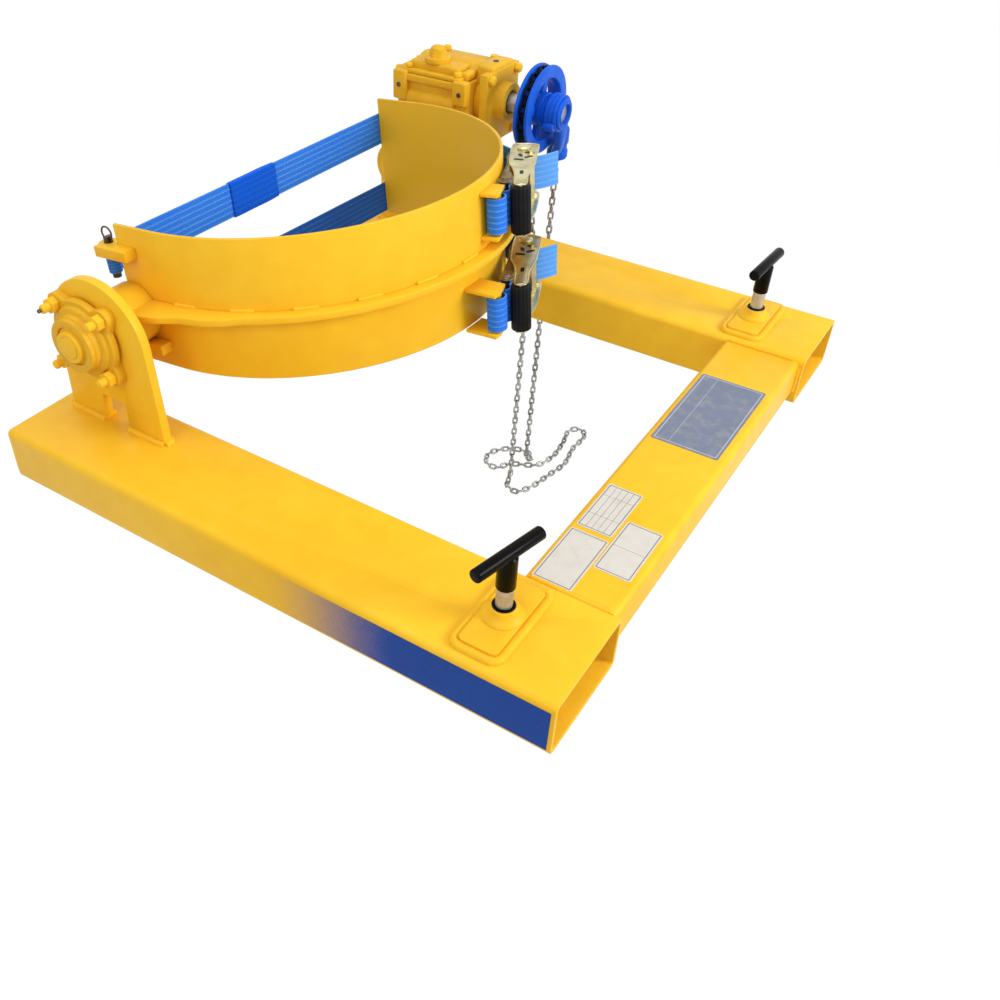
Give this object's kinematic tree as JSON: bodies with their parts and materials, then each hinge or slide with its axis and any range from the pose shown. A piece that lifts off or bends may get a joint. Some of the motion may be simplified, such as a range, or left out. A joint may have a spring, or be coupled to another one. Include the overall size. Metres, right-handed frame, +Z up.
{
  "type": "forklift drum tipper",
  "caption": "Fork-mounted drum tipper: two box arms, a half-round strap cradle on trunnions, a worm gearbox and a hand chain wheel.",
  "frame": {"origin": "midway between the two fork pockets, in the plane of their mouths, at the middle of their height", "axes": "+Y along the pockets away from the truck, +Z up, +X to the driver's right; the gearbox is on +X"},
  "size_m": [1.2421, 0.856, 0.8986],
  "materials": {
    "yellow_paint": "glossy safety yellow enamel",
    "blue_paint": "satin blue enamel on castings",
    "bare_steel": "turned bare steel",
    "zinc_steel": "yellowish zinc plating",
    "chain_steel": "galvanised links",
    "bronze": "cast bronze",
    "black_paint": "satin black",
    "black_plastic": "matt black grip",
    "blue_webbing": "woven polyester webbing",
    "label_white": "printed label stock, blank",
    "stripe_blue": "blue decal fading to yellow"
  },
  "bodies": {
    "frame": {"left_arm_tube": "yellow_paint", "right_arm_tube": "yellow_paint", "arm_end_caps": "yellow_paint", "cross_member": "yellow_paint", "weld_beads": "yellow_paint", "clamp_pads": "yellow_paint", "clamp_nuts": "yellow_paint", "left_bearing_bracket": "yellow_paint", "right_bearing_bracket": "yellow_paint", "bearing_housings": "yellow_paint", "bearing_bolts": "yellow_paint", "gearbox_pedestal": "yellow_paint", "gearbox_housing": "yellow_paint", "gearbox_lid": "yellow_paint", "worm_input_flange": "yellow_paint", "worm_end_flange": "yellow_paint", "gearbox_filler_cap": "yellow_paint", "gearbox_bolts": "yellow_paint", "gearbox_bearings": "bare_steel", "chain_guide": "blue_paint", "hand_chain": "chain_steel", "blank_labels": "label_white", "side_stripe": "stripe_blue"},
    "cradle": {"drum_shell": "yellow_paint", "stiffening_ring": "yellow_paint", "trunnion_bosses": "yellow_paint", "left_trunnion_shaft": "bare_steel", "right_trunnion_shaft": "bare_steel", "worm_wheel": "bronze", "bearing_inner_rings": "yellow_paint", "strap_lugs": "yellow_paint", "ratchet_mounts": "yellow_paint", "upper_ratchet_frame": "zinc_steel", "lower_ratchet_frame": "zinc_steel", "upper_anchor_loop": "blue_webbing", "lower_anchor_loop": "blue_webbing", "upper_strap": "blue_webbing", "lower_strap": "blue_webbing", "strap_keeper": "blue_webbing"},
    "hand_wheel": {"worm_shaft": "bare_steel", "chain_wheel": "blue_paint"},
    "left_foot": {"left_clamp_foot": "bare_steel"},
    "left_screw": {"left_clamp_screw": "zinc_steel", "left_clamp_handle": "black_paint"},
    "right_foot": {"right_clamp_foot": "bare_steel"},
    "right_screw": {"right_clamp_screw": "zinc_steel", "right_clamp_handle": "black_paint"},
    "upper_pin": {"upper_strap_pin": "black_paint"},
    "lower_pin": {"lower_strap_pin": "black_paint"},
    "upper_ring": {"upper_pin_ring": "black_paint"},
    "lower_ring": {"lower_pin_ring": "black_paint"},
    "upper_handle": {"upper_ratchet_handle": "zinc_steel", "upper_ratchet_grip": "black_plastic"},
    "lower_handle": {"lower_ratchet_handle": "zinc_steel", "lower_ratchet_grip": "black_plastic"},
    "upper_spool": {"upper_ratchet_spool": "zinc_steel"},
    "lower_spool": {"lower_ratchet_spool": "zinc_steel"},
    "upper_pawl": {"upper_ratchet_pawl": "zinc_steel"},
    "lower_pawl": {"lower_ratchet_pawl": "zinc_steel"}
  },
  "joints": [
    {"name": "cradle_tilt", "type": "hinge", "parent": "frame", "child": "cradle", "pos_m": [0, 0.755, 0.175], "axis": [1, 0, 0], "continuous": true},
    {"name": "hand_wheel_spin", "type": "hinge", "parent": "frame", "child": "hand_wheel", "pos_m": [0.497, 0.574, 0.261], "axis": [0, 1, 0], "continuous": true},
    {"name": "left_foot_slide", "type": "slide", "parent": "frame", "child": "left_foot", "axis": [0, 0, 1], "range_m": [-0.022, 0]},
    {"name": "left_screw_turn", "type": "hinge", "parent": "left_foot", "child": "left_screw", "pos_m": [-0.405, 0.11, 0.04], "axis": [0, 0, 1], "range_deg": [-3168, 0]},
    {"name": "right_foot_slide", "type": "slide", "parent": "frame", "child": "right_foot", "axis": [0, 0, 1], "range_m": [-0.022, 0]},
    {"name": "right_screw_turn", "type": "hinge", "parent": "right_foot", "child": "right_screw", "pos_m": [0.405, 0.11, 0.04], "axis": [0, 0, 1], "range_deg": [-3168, 0]},
    {"name": "upper_handle_swing", "type": "hinge", "parent": "cradle", "child": "upper_handle", "pos_m": [0.19515, 0.43833, 0.2781], "axis": [0, 0.1028, 0.9947], "range_deg": [0, 95]},
    {"name": "upper_spool_turn", "type": "hinge", "parent": "cradle", "child": "upper_spool", "pos_m": [0.19515, 0.43833, 0.2781], "axis": [0, 0.1028, 0.9947], "continuous": true},
    {"name": "upper_pawl_pull", "type": "slide", "parent": "upper_handle", "child": "upper_pawl", "axis": [-0.599, -0.7965, 0.0823], "range_m": [0, 0.006], "stiffness_N_per_m": 400, "springref_m": -0.004},
    {"name": "lower_handle_swing", "type": "hinge", "parent": "cradle", "child": "lower_handle", "pos_m": [0.14554, 0.39655, 0.16379], "axis": [0, 0.1028, 0.9947], "range_deg": [0, 86]},
    {"name": "lower_spool_turn", "type": "hinge", "parent": "cradle", "child": "lower_spool", "pos_m": [0.14554, 0.39655, 0.16379], "axis": [0, 0.1028, 0.9947], "continuous": true},
    {"name": "lower_pawl_pull", "type": "slide", "parent": "lower_handle", "child": "lower_pawl", "axis": [-0.6157, -0.7838, 0.081], "range_m": [0, 0.006], "stiffness_N_per_m": 400, "springref_m": -0.004},
    {"name": "upper_pin_lift", "type": "slide", "parent": "cradle", "child": "upper_pin", "axis": [0, 0.1028, 0.9947], "range_m": [0, 0.06]},
    {"name": "lower_pin_drop", "type": "slide", "parent": "cradle", "child": "lower_pin", "axis": [0, 0.1028, 0.9947], "range_m": [-0.06, 0]},
    {"name": "upper_ring_swing", "type": "hinge", "parent": "upper_pin", "child": "upper_ring", "pos_m": [-0.3, 0.79073, 0.26782], "axis": [0, 0.9947, -0.1028], "range_deg": [-80, 80]},
    {"name": "lower_ring_swing", "type": "hinge", "parent": "lower_pin", "child": "lower_ring", "pos_m": [-0.3, 0.77192, 0.08579], "axis": [0, 0.9947, -0.1028], "range_deg": [-80, 80]}
  ],
  "couplings": [
    {"joint": "hand_wheel_spin", "follows": "cradle_tilt", "ratio": 30},
    {"joint": "left_foot_slide", "follows": "left_screw_turn", "m_per_rad": 0.00039789},
    {"joint": "right_foot_slide", "follows": "right_screw_turn", "m_per_rad": 0.00039789}
  ]
}
